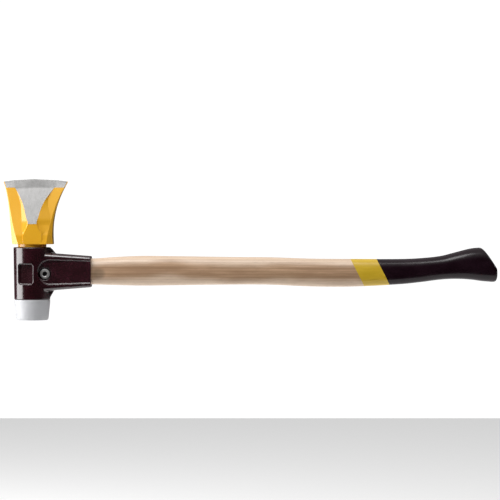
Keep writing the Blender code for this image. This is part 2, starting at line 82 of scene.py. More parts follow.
HEAD_RADIUS = (SCREW_HIGH.x - SCREW_LOW.x) / 2.0
HEAD_HEIGHT = 0.0070
HEX_FLATS = 0.0080
HEX_DEPTH = 0.0048
COUNTERBORE_RADIUS = 0.0106
COUNTERBORE_FLOOR = -0.0105
SCREW_HOLE = 0.0054
NUT_FLATS = 0.0170
NUT_FLOOR = 0.0105

SHANK_RADIUS = 0.0145
NECK_RADIUS = 0.0239
WEDGE_BASE = 0.1284
NOTCH_Z = 0.1434
RIDGE_FOOT_Z = 0.1624
BAND_Z = 0.2237
EDGE_PEAK = WEDGE_HIGH.z
EDGE_RADIUS = 0.3540
EDGE_CENTRE_X = 0.0050
EDGE_HALF_THICK = 0.0003
BAND_HALF_THICK = 0.0046
FOOT_HALF_THICK = 0.0278
BASE_HALF_THICK = 0.0268
NOTCH_HALF_THICK = 0.0258

HANDLE_ROOT = 0.0345
HANDLE_END = 0.7688
HANDLE_POWER = 2.35
HANDLE_SEGMENTS = 72
BAND_START = 0.5485
BAND_END = 0.5922
COAT = 0.0006
COAT_INSET = 0.00003
END_ROUND = 0.0045
END_BULGE = 0.0124
END_BULGE_AT = 0.38
BAND_SLANT = 0.5085
END_SLANT = 0.3930
HANDLE_BENDS = (
    (0.034, 0.1057, 0.0573, 0.0162),
    (0.100, 0.1040, 0.0600, 0.0150),
    (0.135, 0.1062, 0.0592, 0.0152),
    (0.182, 0.1083, 0.0581, 0.0156),
    (0.240, 0.1079, 0.0587, 0.0156),
    (0.335, 0.1065, 0.0599, 0.0152),
    (0.402, 0.1060, 0.0596, 0.0150),
    (0.470, 0.1038, 0.0567, 0.0148),
    (0.537, 0.1032, 0.0564, 0.0148),
    (0.622, 0.1032, 0.0605, 0.0150),
    (0.656, 0.1047, 0.0640, 0.0155),
    (0.689, 0.1083, 0.0682, 0.0165),
    (0.715, 0.1148, 0.0694, 0.0175),
    (0.740, 0.1210, 0.0682, 0.0185),
    (0.760, 0.1226, 0.0656, 0.0187),
    (0.790, 0.1222, 0.0634, 0.0183),
)


# ---------------------------------------------------------------- numbers and curves
def mix(a, b, t):
    return a + (b - a) * t


def ease(a, b, x):
    t = min(1.0, max(0.0, (x - a) / (b - a)))
    return t * t * (3.0 - 2.0 * t)


def through(knots, x, column):
    """Smooth curve through one column of a list of bends."""
    i = 0
    while i < len(knots) - 2 and x > knots[i + 1][0]:
        i += 1

    def slope(j):
        before = max(0, j - 1)
        after = min(len(knots) - 1, j + 1)
        return (knots[after][column] - knots[before][column]) / (knots[after][0] - knots[before][0])

    span = knots[i + 1][0] - knots[i][0]
    t = min(1.0, max(0.0, (x - knots[i][0]) / span))
    a, b = knots[i][column], knots[i + 1][column]
    m, n = slope(i) * span, slope(i + 1) * span
    return (
        (2 * t**3 - 3 * t**2 + 1) * a + (t**3 - 2 * t**2 + t) * m
        + (3 * t**2 - 2 * t**3) * b + (t**3 - t**2) * n
    )


def arc(x, z, radius, first, last, count):
    steps = [math.radians(first + (last - first) * i / (count - 1)) for i in range(count)]
    return [(x + radius * math.cos(a), z + radius * math.sin(a)) for a in steps]


def oval(power, half_y, half_z, count):
    points = []
    for i in range(count):
        angle = 2.0 * math.pi * i / count
        up, side = math.cos(angle), math.sin(angle)
        y = math.copysign(abs(side) ** (2.0 / power), side) * half_y
        z = math.copysign(abs(up) ** (2.0 / power), up) * half_z
        points.append((y if abs(side) > 1e-9 else 0.0, z if abs(up) > 1e-9 else 0.0))
    return points


# ---------------------------------------------------------------- mesh helpers
def made_object(name, bm, body=None, looks=(), sharp=None, doubles=1e-7):
    bmesh.ops.remove_doubles(bm, verts=bm.verts, dist=doubles)
    bmesh.ops.recalc_face_normals(bm, faces=bm.faces)
    mesh = bpy.data.meshes.new(name)
    bm.to_mesh(mesh)
    bm.free()
    return dress(name, mesh, body, looks, sharp)


def dress(name, mesh, body, looks, sharp):
    made = bpy.data.objects.new(name, mesh)
    bpy.context.scene.collection.objects.link(made)
    for look in looks:
        mesh.materials.append(look)
    mesh.shade_smooth()
    if sharp is not None:
        mesh.set_sharp_from_angle(angle=math.radians(sharp))
    if body:
        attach(made, body)
    return made


def evaluated(source):
    """The mesh an object has after its modifiers; the object itself is removed."""
    bpy.context.view_layer.update()
    graph = bpy.context.evaluated_depsgraph_get()
    mesh = bpy.data.meshes.new_from_object(source.evaluated_get(graph), depsgraph=graph)
    bpy.data.objects.remove(source, do_unlink=True)
    return mesh


def carve(base, steps):
    """Add exact Booleans to a shape, one after the other."""
    for other, operation in steps:
        step = base.modifiers.new(operation, "BOOLEAN")
        step.operation = operation
        step.solver = "EXACT"
        step.object = other
    return base


def bevel(thing, width, segments, angle):
    step = thing.modifiers.new("edges", "BEVEL")
    step.width = width
    step.segments = segments
    step.limit_method = "ANGLE"
    step.angle_limit = math.radians(angle)
    step.use_clamp_overlap = True
    step.harden_normals = False
    return step


def cylinder(radius, start, end, segments=64):
    bm = bmesh.new()
    span = Vector(end) - Vector(start)
    bmesh.ops.create_cone(
        bm, cap_ends=True, segments=segments, radius1=radius, radius2=radius, depth=span.length
    )
    turn = span.to_track_quat("Z", "Y").to_matrix().to_4x4()
    middle = (Vector(start) + Vector(end)) / 2.0
    bmesh.ops.transform(bm, verts=bm.verts, matrix=Matrix.Translation(middle) @ turn)
    return bm


def block(low, high):
    bm = bmesh.new()
    bmesh.ops.create_cube(bm, size=1.0)
    low, high = Vector(low), Vector(high)
    bmesh.ops.scale(bm, verts=bm.verts, vec=high - low)
    bmesh.ops.translate(bm, verts=bm.verts, vec=(low + high) / 2.0)
    return bm


def prism(outline, y_low, y_high):
    bm = bmesh.new()
    face = bm.faces.new([bm.verts.new((x, y_low, z)) for x, z in outline])
    pushed = bmesh.ops.extrude_face_region(bm, geom=[face])
    moved = [item for item in pushed["geom"] if isinstance(item, bmesh.types.BMVert)]
    bmesh.ops.translate(bm, verts=moved, vec=(0.0, y_high - y_low, 0.0))
    return bm


def add_ring(bm, points):
    return [bm.verts.new(p) for p in points]


def bridge(bm, first, second, slot=0):
    made = []
    count = len(first)
    for i in range(count):
        j = (i + 1) % count
        face = bm.faces.new((first[i], first[j], second[j], second[i]))
        face.material_index = slot
        made.append(face)
    return made


def cap(bm, ring):
    count = len(ring)
    half = count // 2
    bm.faces.new((ring[0], ring[1], ring[count - 1]))
    for i in range(1, half - 1):
        bm.faces.new((ring[i], ring[i + 1], ring[count - i - 1], ring[count - i]))
    bm.faces.new((ring[half - 1], ring[half], ring[half + 1]))


def loft(rings):
    bm = bmesh.new()
    made = [add_ring(bm, r) for r in rings]
    for first, second in zip(made, made[1:]):
        bridge(bm, first, second)
    cap(bm, made[0])
    cap(bm, made[-1])
    return bm


def rounded(profile, radius, steps=3):
    """Round the corners of a turned profile, leaving its two ends on the axis."""
    out = [profile[0]]
    for before, here, after in zip(profile, profile[1:], profile[2:]):
        a, b, c = Vector(before), Vector(here), Vector(after)
        first, second = (a - b), (c - b)
        cut = min(radius, first.length * 0.45, second.length * 0.45)
        start, stop = b + first.normalized() * cut, b + second.normalized() * cut
        for i in range(steps + 1):
            t = i / steps
            p = start * (1 - t) ** 2 + b * 2 * t * (1 - t) + stop * t * t
            out.append((p.x, p.y))
    out.append(profile[-1])
    return out


def lathe(profile, segments, centre=(0.0, 0.0)):
    """A solid turned about a vertical axis."""
    bm = bmesh.new()
    rings = []
    for radius, z in profile:
        if radius < 1e-6:
            rings.append([bm.verts.new((centre[0], centre[1], z))])
            continue
        ring = []
        for i in range(segments):
            a = 2.0 * math.pi * i / segments
            ring.append(bm.verts.new((centre[0] + radius * math.cos(a), centre[1] + radius * math.sin(a), z)))
        rings.append(ring)
    for first, second in zip(rings, rings[1:]):
        if len(first) == 1 or len(second) == 1:
            tip, ring = (first[0], second) if len(first) == 1 else (second[0], first)
            for i in range(segments):
                bm.faces.new((tip, ring[i], ring[(i + 1) % segments]))
        else:
            bridge(bm, first, second)
    return bm


# ---------------------------------------------------------------- material helpers
class Nodes:
    """Short spelling for building a node tree."""

    def __init__(self, name):
        self.material = bpy.data.materials.new(name)
        self.material.use_nodes = True
        self.tree = self.material.node_tree
        self.shader = self.tree.nodes["Principled BSDF"]
        self.place = self.add("ShaderNodeTexCoord").outputs["Object"]

    def add(self, kind, **settings):
        node = self.tree.nodes.new(kind)
        for key, value in settings.items():
            setattr(node, key, value)
        return node

    def join(self, value, socket):
        if hasattr(value, "is_output"):
            self.tree.links.new(value, socket)
        else:
            socket.default_value = value

    def scaled(self, x, y, z, source=None):
        node = self.add("ShaderNodeMapping")
        node.inputs["Scale"].default_value = (x, y, z)
        self.join(source or self.place, node.inputs["Vector"])
        return node.outputs["Vector"]

    def noise(self, vector, scale=1.0, detail=3.0, rough=0.5, warp=0.0):
        node = self.add("ShaderNodeTexNoise")
        self.join(vector, node.inputs["Vector"])
        node.inputs["Scale"].default_value = scale
        node.inputs["Detail"].default_value = detail
        node.inputs["Roughness"].default_value = rough
        node.inputs["Distortion"].default_value = warp
        return node.outputs["Fac"]

    def math(self, operation, a, b=0.0, c=0.0, clamp=False):
        node = self.add("ShaderNodeMath", operation=operation, use_clamp=clamp)
        for value, socket in zip((a, b, c), node.inputs):
            self.join(value, socket)
        return node.outputs[0]

    def span(self, value, low, high, out_low=0.0, out_high=1.0, smooth=True):
        node = self.add("ShaderNodeMapRange")
        node.interpolation_type = "SMOOTHSTEP" if smooth else "LINEAR"
        self.join(value, node.inputs["Value"])
        node.inputs["From Min"].default_value = low
        node.inputs["From Max"].default_value = high
        node.inputs["To Min"].default_value = out_low
        node.inputs["To Max"].default_value = out_high
        return node.outputs[0]

    def blend(self, factor, a, b, mode="MIX"):
        node = self.add("ShaderNodeMix", data_type="RGBA", blend_type=mode)
        self.join(factor, node.inputs[0])
        for value, socket in ((a, node.inputs[6]), (b, node.inputs[7])):
            self.join((*value, 1.0) if isinstance(value, tuple) else value, socket)
        return node.outputs[2]

    def axes(self, source=None):
        node = self.add("ShaderNodeSeparateXYZ")
        self.join(source or self.place, node.inputs[0])
        return node.outputs

    def bump(self, height, distance, strength=1.0, under=None):
        node = self.add("ShaderNodeBump")
        node.inputs["Strength"].default_value = strength
        node.inputs["Distance"].default_value = distance
        self.join(height, node.inputs["Height"])
        if under is not None:
            self.join(under, node.inputs["Normal"])
        return node.outputs["Normal"]

    def finish(self, **sockets):
        for key, value in sockets.items():
            socket = self.shader.inputs[key.replace("_", " ")]
            self.join((*value, 1.0) if isinstance(value, tuple) and len(value) == 3 else value, socket)
        return self.material


def housing_look():
    n = Nodes("housing_enamel")
    x, y, z = n.axes()
    depth = n.math("ABSOLUTE", y)
    inside = n.math("MULTIPLY", n.span(depth, 0.0208, 0.0214, 1.0, 0.0), n.span(x, 0.012, 0.016))
    grain = n.noise(n.scaled(1.0, 1.0, 1.0), 950.0, 3.0, 0.6)
    pits = n.noise(n.scaled(1.0, 1.0, 1.0), 420.0, 2.0, 0.5)
    peel = n.noise(n.scaled(1.0, 1.0, 1.0), 260.0, 2.0, 0.4)
    cast = n.math("MULTIPLY", n.math("ADD", grain, n.math("MULTIPLY", pits, 0.7)), inside)
    rough_skin = n.bump(cast, 0.00030, 0.25)
    normal = n.bump(peel, 0.00012, 0.35, rough_skin)
    shade = n.noise(n.scaled(1.0, 1.0, 1.0), 55.0, 3.0, 0.6)
    speck = n.span(grain, 0.56, 0.66)
    colour = n.blend(n.span(shade, 0.35, 0.7), (0.0170, 0.0006, 0.0026), (0.0280, 0.0016, 0.0060))
    glint = n.math("MULTIPLY", speck, n.math("MULTIPLY", inside, 0.8))
    colour = n.blend(glint, colour, (0.110, 0.016, 0.036))
    rough = n.math("ADD", n.span(shade, 0.3, 0.7, 0.17, 0.22), n.math("MULTIPLY", inside, 0.06))
    n.shader.inputs["IOR"].default_value = 1.9
    n.shader.inputs["Coat Weight"].default_value = 0.15
    n.shader.inputs["Coat Roughness"].default_value = 0.08
    return n.finish(Base_Color=colour, Roughness=rough, Normal=normal)


def yellow_look():
    n = Nodes("wedge_powder_coat")
    peel = n.noise(n.scaled(1.0, 1.0, 1.0), 420.0, 2.0, 0.45)
    cloud = n.noise(n.scaled(1.0, 1.0, 0.5), 24.0, 2.0, 0.45)
    dust = n.span(n.noise(n.scaled(1.0, 1.0, 1.0), 1300.0, 2.0, 0.6), 0.62, 0.72)
    colour = n.blend(n.span(cloud, 0.3, 0.7), (0.98, 0.490, 0.024), (1.00, 0.520, 0.028))
    colour = n.blend(n.math("MULTIPLY", dust, 0.18), colour, (0.70, 0.33, 0.02))
    n.shader.inputs["Coat Weight"].default_value = 0.5
    n.shader.inputs["Coat Roughness"].default_value = 0.10
    rough = n.span(cloud, 0.3, 0.7, 0.26, 0.36)
    return n.finish(Base_Color=colour, Roughness=rough, Normal=n.bump(peel, 0.00010, 0.5))


def steel_look(name="ground_steel", tone=0.225, along=(1300.0, 1300.0, 14.0), low=0.34, high=0.44):
    n = Nodes(name)
    lines = n.noise(n.scaled(*along), 1.0, 5.0, 0.7)
    wide = n.noise(n.scaled(*(v * 0.22 for v in along)), 1.0, 2.0, 0.5)
    cloud = n.noise(n.scaled(1.0, 1.0, 1.0), 45.0, 4.0, 0.6)
    grey = n.math("ADD", n.span(lines, 0.3, 0.7, -0.022, 0.022), n.span(wide, 0.3, 0.7, -0.012, 0.012))
    light = n.math("ADD", grey, n.span(cloud, 0.3, 0.7, tone - 0.012, tone + 0.012))
    mixer = n.add("ShaderNodeCombineColor")
    n.join(light, mixer.inputs[0])
    n.join(n.math("MULTIPLY", light, 0.99), mixer.inputs[1])
    n.join(n.math("MULTIPLY", light, 0.975), mixer.inputs[2])
    n.shader.inputs["Metallic"].default_value = 1.0
    n.shader.inputs["Anisotropic"].default_value = 0.35
    rough = n.math("ADD", n.span(lines, 0.3, 0.7, low, high), n.span(cloud, 0.3, 0.7, -0.01, 0.01))
    return n.finish(Base_Color=mixer.outputs[0], Roughness=rough, Normal=n.bump(lines, 0.00002, 0.20))


def plastic_look():
    n = Nodes("insert_polymer")
    fine = n.noise(n.scaled(1.0, 1.0, 1.0), 700.0, 2.0, 0.5)
    cloud = n.noise(n.scaled(1.0, 1.0, 1.0), 60.0, 3.0, 0.5)
    turn_marks = n.noise(n.scaled(20.0, 20.0, 2200.0), 1.0, 2.0, 0.5)
    colour = n.blend(n.span(cloud, 0.3, 0.7), (0.60, 0.605, 0.625), (0.63, 0.635, 0.655))
    skin = n.bump(fine, 0.00006, 0.35, n.bump(turn_marks, 0.00003, 0.3))
    n.shader.inputs["Subsurface Weight"].default_value = 0.12
    n.shader.inputs["Subsurface Radius"].default_value = (0.004, 0.004, 0.0045)
    n.shader.inputs["Subsurface Scale"].default_value = 1.0
    return n.finish(Base_Color=colour, Roughness=n.span(cloud, 0.3, 0.7, 0.36, 0.46), Normal=skin)


def wood_look():
    n = Nodes("oiled_hickory")
    x, y, z = n.axes()
    # painted shade and light: the middle of the handle's height is painted a darker wood tone than its top
    # and bottom. This stands in for the shade on the camera-facing middle and the light falling on the upper
    # and lower edges. The band's edge wanders like a heartwood streak, and ring lines and figure are painted
    # stronger inside it.
    drift = n.noise(n.scaled(7.0, 3.0, 3.0), 1.0, 2.0, 0.5)
    wander = n.math("MULTIPLY", n.math("SUBTRACT", drift, 0.5), 0.030)
    lift = n.math("SUBTRACT", z, n.math("ADD", wander, 0.0805))
    reach = n.math("ABSOLUTE", lift)
    painted_shade_band = n.span(reach, 0.005, 0.0190, 1.0, 0.0)
    rings = n.noise(n.scaled(5.0, 95.0, 210.0), 1.0, 4.0, 0.62, 0.7)
    ring_line = n.span(rings, 0.40, 0.62)
    fibre = n.noise(n.scaled(22.0, 1500.0, 1500.0), 1.0, 4.0, 0.65)
    pore = n.span(n.noise(n.scaled(95.0, 2300.0, 2300.0), 1.0, 2.0, 0.5), 0.60, 0.70)
    cloud = n.noise(n.scaled(9.0, 40.0, 40.0), 1.0, 3.0, 0.6)
    arch_in = n.scaled(3.1, 30.0, 120.0)
    arch = n.add("ShaderNodeTexWave", wave_type="RINGS", rings_direction="SPHERICAL")
    n.join(arch_in, arch.inputs["Vector"])
    arch.inputs["Scale"].default_value = 0.55
    arch.inputs["Distortion"].default_value = 3.2
    arch.inputs["Detail"].default_value = 3.0
    arch.inputs["Detail Scale"].default_value = 1.2
    figure = n.span(arch.outputs["Fac"], 0.35, 0.95)
    lit_edge_wood = n.blend(n.span(cloud, 0.3, 0.7), (0.86, 0.650, 0.480), (0.94, 0.735, 0.560))
    shaded_middle_wood = n.blend(n.span(cloud, 0.3, 0.7), (0.42, 0.240, 0.135), (0.66, 0.415, 0.250))
    colour = n.blend(n.math("MULTIPLY", painted_shade_band, 0.88), lit_edge_wood, shaded_middle_wood)
    colour = n.blend(n.math("MULTIPLY", ring_line, n.math("ADD", n.math("MULTIPLY", painted_shade_band, 0.42), 0.16)),
                     colour, (0.33, 0.190, 0.100))
    colour = n.blend(n.math("MULTIPLY", figure, n.math("ADD", n.math("MULTIPLY", painted_shade_band, 0.34), 0.12)),
                     colour, (0.42, 0.250, 0.135))
    colour = n.blend(n.math("MULTIPLY", n.span(fibre, 0.45, 0.75), 0.20), colour, (0.38, 0.230, 0.125))
    colour = n.blend(n.math("MULTIPLY", pore, 0.30), colour, (0.22, 0.120, 0.060))
    # a grey-brown patch painted on the -Y side of the wood, next to the socket mouth at mid height
    far_x = n.math("DIVIDE", n.math("SUBTRACT", x, 0.112), 0.0125)
    far_z = n.math("DIVIDE", n.math("SUBTRACT", z, 0.0785), 0.0105)
    spread = n.math("ADD", n.math("POWER", n.math("ABSOLUTE", far_x), 2.0),
                    n.math("POWER", n.math("ABSOLUTE", far_z), 2.0))
    socket_patch = n.math("MULTIPLY", n.span(spread, 0.1, 1.25, 1.0, 0.0), n.span(y, -0.002, 0.004, 0.45, 0.0))
    colour = n.blend(socket_patch, colour, (0.115, 0.092, 0.066))
    rough = n.span(fibre, 0.3, 0.7, 0.36, 0.50)
    grain = n.bump(pore, 0.00005, 0.35, n.bump(fibre, 0.00006, 0.45))
    n.shader.inputs["Coat Weight"].default_value = 0.18
    n.shader.inputs["Coat Roughness"].default_value = 0.28
    return n.finish(Base_Color=colour, Roughness=rough, Normal=grain)


def band_look():
    n = Nodes("band_lacquer")
    cloud = n.noise(n.scaled(20.0, 60.0, 60.0), 1.0, 3.0, 0.6)
    fibre = n.noise(n.scaled(18.0, 900.0, 900.0), 1.0, 3.0, 0.6)
    colour = n.blend(n.span(cloud, 0.3, 0.7), (0.72, 0.470, 0.026), (0.82, 0.550, 0.040))
    colour = n.blend(n.span(fibre, 0.5, 0.8, 0.0, 0.25), colour, (0.36, 0.215, 0.014))
    n.shader.inputs["Coat Weight"].default_value = 0.3
    n.shader.inputs["Coat Roughness"].default_value = 0.16
    return n.finish(Base_Color=colour, Roughness=n.span(cloud, 0.3, 0.7, 0.30, 0.40),
                    Normal=n.bump(fibre, 0.00005, 0.35))


def grip_look():
    n = Nodes("grip_lacquer")
    cloud = n.noise(n.scaled(25.0, 50.0, 50.0), 1.0, 3.0, 0.6)
    peel = n.noise(n.scaled(60.0, 160.0, 160.0), 1.0, 2.0, 0.5)
    fine = n.noise(n.scaled(1.0, 1.0, 1.0), 900.0, 2.0, 0.5)
    colour = n.blend(n.span(cloud, 0.3, 0.7), (0.0085, 0.0020, 0.0048), (0.0150, 0.0048, 0.0095))
    n.shader.inputs["IOR"].default_value = 1.42
    skin = n.bump(fine, 0.00003, 0.3, n.bump(peel, 0.00010, 0.25))
    return n.finish(Base_Color=colour, Roughness=n.span(cloud, 0.3, 0.7, 0.19, 0.24), Normal=skin)


enamel = housing_look()
yellow = yellow_look()
ground = steel_look()
zinc = steel_look("zinc_plate", 0.70, (420.0, 420.0, 420.0), 0.50, 0.60)
# dark steel finish: painted shade inside the screw's hex socket, and the lock washer's colour
dark_steel = steel_look("dark_steel_and_socket_shade", 0.06, (420.0, 420.0, 420.0), 0.32, 0.44)
polymer = plastic_look()
hickory = wood_look()
lacquer = band_look()
grip_paint = grip_look()


# ---------------------------------------------------------------- handle
def slant(s):
    rise = BAND_SLANT * ease(0.470, BAND_START, s)
    return rise + (END_SLANT - BAND_SLANT) * ease(BAND_END, HANDLE_END, s)


def bulge(u):
    if u < END_BULGE_AT:
        return END_BULGE * max(0.0, u / END_BULGE_AT) ** 0.5
    return END_BULGE * max(0.0, (1.0 - u) / (1.0 - END_BULGE_AT)) ** 0.6


def handle_ring(s, inset, squeeze=0.0, count=HANDLE_SEGMENTS):
    lean = slant(s)
    bottom = through(HANDLE_BENDS, s, 2)
    top = through(HANDLE_BENDS, s, 1)
    middle = (top + bottom) / 2.0
    for _ in range(8):
        top = through(HANDLE_BENDS, s - lean * (top - middle), 1)
        bottom = through(HANDLE_BENDS, s - lean * (bottom - middle), 2)
    centre = (top + bottom) / 2.0
    half = (top - bottom) / 2.0 - inset - 0.4 * squeeze
    thick = through(HANDLE_BENDS, s, 3) - inset - squeeze
    weight = ease(0.735, HANDLE_END, s)
    points = []
    for y, z in oval(HANDLE_POWER, thick, half, count):
        u = (z / half + 1.0) / 2.0
        points.append((s - lean * (centre + z - middle) + weight * bulge(u), y, centre + z))
    return points


def handle_rings(start, end, inset, spacing, count=HANDLE_SEGMENTS):
    reaches_butt = end >= HANDLE_END - 1e-6
    stop = end - END_ROUND if reaches_butt else end
    steps = max(2, int(math.ceil((stop - start) / spacing)) + 1)
    rings = [handle_ring(mix(start, stop, i / (steps - 1)), inset, 0.0, count) for i in range(steps)]
    if reaches_butt:
        for i in range(1, 8):
            angle = math.radians(90.0 * i / 7.0)
            forward = (END_ROUND - inset) * math.sin(angle)
            rings.append(handle_ring(stop + forward, inset, END_ROUND * (1.0 - math.cos(angle)), count))
    return rings


def skin(outer, inner, closed_end):
    bm = bmesh.new()
    outside = [add_ring(bm, r) for r in outer]
    inside = [add_ring(bm, r) for r in inner]
    for run in (outside, inside):
        for first, second in zip(run, run[1:]):
            bridge(bm, first, second)
    bridge(bm, outside[0], inside[0])
    if closed_end:
        cap(bm, outside[-1])
        cap(bm, inside[-1])
    else:
        bridge(bm, outside[-1], inside[-1])
    return bm


shoulder = BAND_START - 0.00005
wood_runs = handle_rings(HANDLE_ROOT, shoulder, 0.0, 0.0065)
wood_runs += handle_rings(shoulder, HANDLE_END, COAT + GAP, 0.012)
handle = made_object("handle_wood", loft(wood_runs), "body", (hickory,), 40.0)
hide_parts("handle")
band_runs = [handle_rings(BAND_START, BAND_END - 0.00005, inset, 0.004) for inset in (0.0, COAT)]
band = made_object("handle_band", skin(*band_runs, False), "body", (lacquer,), 40.0)
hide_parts("signal_band")
coat_runs = [handle_rings(BAND_END, HANDLE_END, inset, 0.0045) for inset in (COAT_INSET, COAT)]
coat = made_object("handle_grip", skin(*coat_runs, True), "body", (grip_paint,), 50.0)
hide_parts("grip_coating")


# ---------------------------------------------------------------- housing
def housing_block():
    bm = bmesh.new()
    bmesh.ops.create_cone(
        bm, cap_ends=True, segments=128, radius1=HOUSING_RADIUS_BOTTOM, radius2=HOUSING_RADIUS_TOP,
        depth=HOUSING_TOP - HOUSING_BOTTOM,
    )
    bmesh.ops.translate(bm, verts=bm.verts, vec=(HEAD_X, 0.0, (HOUSING_TOP + HOUSING_BOTTOM) / 2.0))
    return bm


def tube_ring(x):
    t = x / TUBE_MOUTH
    middle = mix(*TUBE_MIDDLE, t)
    shape = oval(TUBE_POWER, mix(*TUBE_HALF_WIDTH, t), mix(*TUBE_HALF_HEIGHT, t), 96)
    return [(x, y, middle + z) for y, z in shape]


def panel_outline():
    points = arc(PANEL_END_X, PANEL_MIDDLE, PANEL_END_RADIUS, 92.0, 268.0, 49)
    points.append((TUBE_MOUTH + 0.006, PANEL_MIDDLE - PANEL_MOUTH_HALF))
    points.append((TUBE_MOUTH + 0.006, PANEL_MIDDLE + PANEL_MOUTH_HALF))
    return points


def pad_shape(side):
    half_w, half_h = PAD_WIDTH / 2.0 - PAD_CORNER, PAD_HEIGHT / 2.0 - PAD_CORNER
    outline = []
    for x, z, first in (
        (half_w, half_h, 0.0), (-half_w, half_h, 90.0), (-half_w, -half_h, 180.0), (half_w, -half_h, 270.0),
    ):
        outline += arc(x, z, PAD_CORNER, first, first + 90.0, 10)
    bm = prism(outline, -0.040, -PAD_FLAT)
    turn = Matrix.Rotation(PAD_ANGLE, 4, "Z")
    mirror = Matrix.Scale(side, 4, (0.0, 1.0, 0.0))
    shift = Matrix.Translation((HEAD_X, 0.0, PAD_MIDDLE))
    bmesh.ops.transform(bm, verts=bm.verts, matrix=mirror @ shift @ turn)
    return bm


def housing_half(name, node, side, body):
    """Carve one half, then fuse its edges into cast fillets with a fine voxel skin."""
    own = [
        made_object("tube", loft([tube_ring(TUBE_MOUTH * i / 6.0) for i in range(7)])),
        made_object("rib_a", prism([(0.024, 0.1215), (0.0325, 0.1205), (0.040, 0.111), (0.024, 0.106)],
                                   -GUSSET_HALF, GUSSET_HALF)),
        made_object("rib_b", prism([(0.020, 0.0365), (0.0285, 0.0365), (0.037, 0.0515), (0.020, 0.056)],
                                   -GUSSET_HALF, GUSSET_HALF)),
    ]
    outside, inside_y = side * 0.045, side * PANEL_DEPTH_Y
    far = (SCREW_X, side * 0.05, SCREW_Z)
    if side < 0:
        seat, seat_radius, seat_sides = COUNTERBORE_FLOOR, COUNTERBORE_RADIUS, 64
        keep = ((-0.06, -0.05, 0.0), (0.12, -PARTING / 2.0, 0.16))
    else:
        seat, seat_radius, seat_sides = NUT_FLOOR, NUT_FLATS / math.sqrt(3.0) + 0.0004, 6
        keep = ((-0.06, PARTING / 2.0, 0.0), (0.12, 0.05, 0.16))
    cuts = [
        made_object("bore", cylinder(BORE_RADIUS, (HEAD_X, 0.0, 0.020), (HEAD_X, 0.0, 0.140))),
        made_object("socket", loft(handle_rings(HANDLE_ROOT - GAP, TUBE_MOUTH + 0.008, -GAP, 0.0145, 48))),
        made_object("panel", prism(panel_outline(), min(outside, inside_y), max(outside, inside_y))),
        made_object("pad", pad_shape(-side)),
        made_object("hole", cylinder(SCREW_HOLE, (SCREW_X, -0.05, SCREW_Z), (SCREW_X, 0.05, SCREW_Z), 48)),
        made_object("seat", cylinder(seat_radius, far, (SCREW_X, seat, SCREW_Z), seat_sides)),
    ]
    half_space = made_object("keep", block(*keep))
    base = made_object("casting", housing_block())
    steps = [(o, "UNION") for o in own] + [(o, "DIFFERENCE") for o in cuts] + [(half_space, "INTERSECT")]
    carve(base, steps)
    mesh = evaluated(base)
    for spent in own + cuts + [half_space]:
        bpy.data.objects.remove(spent, do_unlink=True)
    blank = bpy.data.objects.new("blank", mesh)
    bpy.context.scene.collection.objects.link(blank)
    voxels = blank.modifiers.new("cast", "REMESH")
    voxels.mode = "VOXEL"
    voxels.voxel_size = 0.00068
    voxels.adaptivity = 0.0
    soften = blank.modifiers.new("soften", "SMOOTH")
    soften.factor = 0.5
    soften.iterations = 9
    mesh = evaluated(blank)
    mesh.materials.clear()
    made = dress(name, mesh, body, (enamel,), None)
    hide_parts(node)
    return made


housing_half("housing_near", "housing_near_half", -1, "body")
housing_half("housing_far", "housing_far_half", 1, "clamp_half")


# ---------------------------------------------------------------- clamp screw, washer, nut
def facing_minus_y(bm, origin_y):
    """Turn a shape made about +Z so that it points along -Y from the clamp axis."""
    place = Matrix.Translation((SCREW_X, origin_y, SCREW_Z)) @ Matrix.Rotation(math.radians(90.0), 4, "X")
    bmesh.ops.transform(bm, verts=bm.verts, matrix=place)
    return bm


length = SCREW_HIGH.y - SCREW_LOW.y
screw_profile = rounded(
    [(0.0, 0.0), (HEAD_RADIUS - 0.0007, 0.0), (HEAD_RADIUS, -0.0008), (HEAD_RADIUS, -HEAD_HEIGHT),
     (SCREW_RADIUS, -HEAD_HEIGHT), (SCREW_RADIUS, -HEAD_HEIGHT - 0.0100)], 0.0004)
thread_start = -HEAD_HEIGHT - 0.0100
turns = int((length - 0.0100 - HEAD_HEIGHT - 0.001) / 0.0015)
for i in range(turns):
    z = thread_start - 0.0015 * i
    screw_profile += [(SCREW_RADIUS - 0.0007, z - 0.0006), (SCREW_RADIUS - 0.0007, z - 0.0008)]
    screw_profile += [(SCREW_RADIUS, z - 0.0013), (SCREW_RADIUS, z - 0.0015)]
screw_profile += [(SCREW_RADIUS - 0.0010, -length), (0.0, -length)]
screw_blank = made_object("screw_blank", facing_minus_y(lathe(screw_profile, 64), HEAD_FACE_Y))
key = cylinder(HEX_FLATS / math.sqrt(3.0), (SCREW_X, HEAD_FACE_Y - 0.004, SCREW_Z),
               (SCREW_X, HEAD_FACE_Y + HEX_DEPTH, SCREW_Z), 6)
bmesh.ops.rotate(key, verts=key.verts, cent=(SCREW_X, 0.0, SCREW_Z),
                 matrix=Matrix.Rotation(math.radians(12.0), 3, "Y"))
key = made_object("key", key)
mouth_profile = [(0.0, 0.002), (0.0062, 0.0012), (0.0050, 0.0), (0.0040, -0.0007), (0.0, -0.0009)]
mouth = made_object("mouth", facing_minus_y(lathe(mouth_profile, 48), HEAD_FACE_Y))
mesh = evaluated(carve(screw_blank, [(key, "DIFFERENCE"), (mouth, "DIFFERENCE")]))
for spent in (key, mouth):
    bpy.data.objects.remove(spent, do_unlink=True)
screw = dress("clamp_bolt", mesh, None, (), 30.0)
mesh.materials.clear()
mesh.materials.append(zinc)
mesh.materials.append(dark_steel)
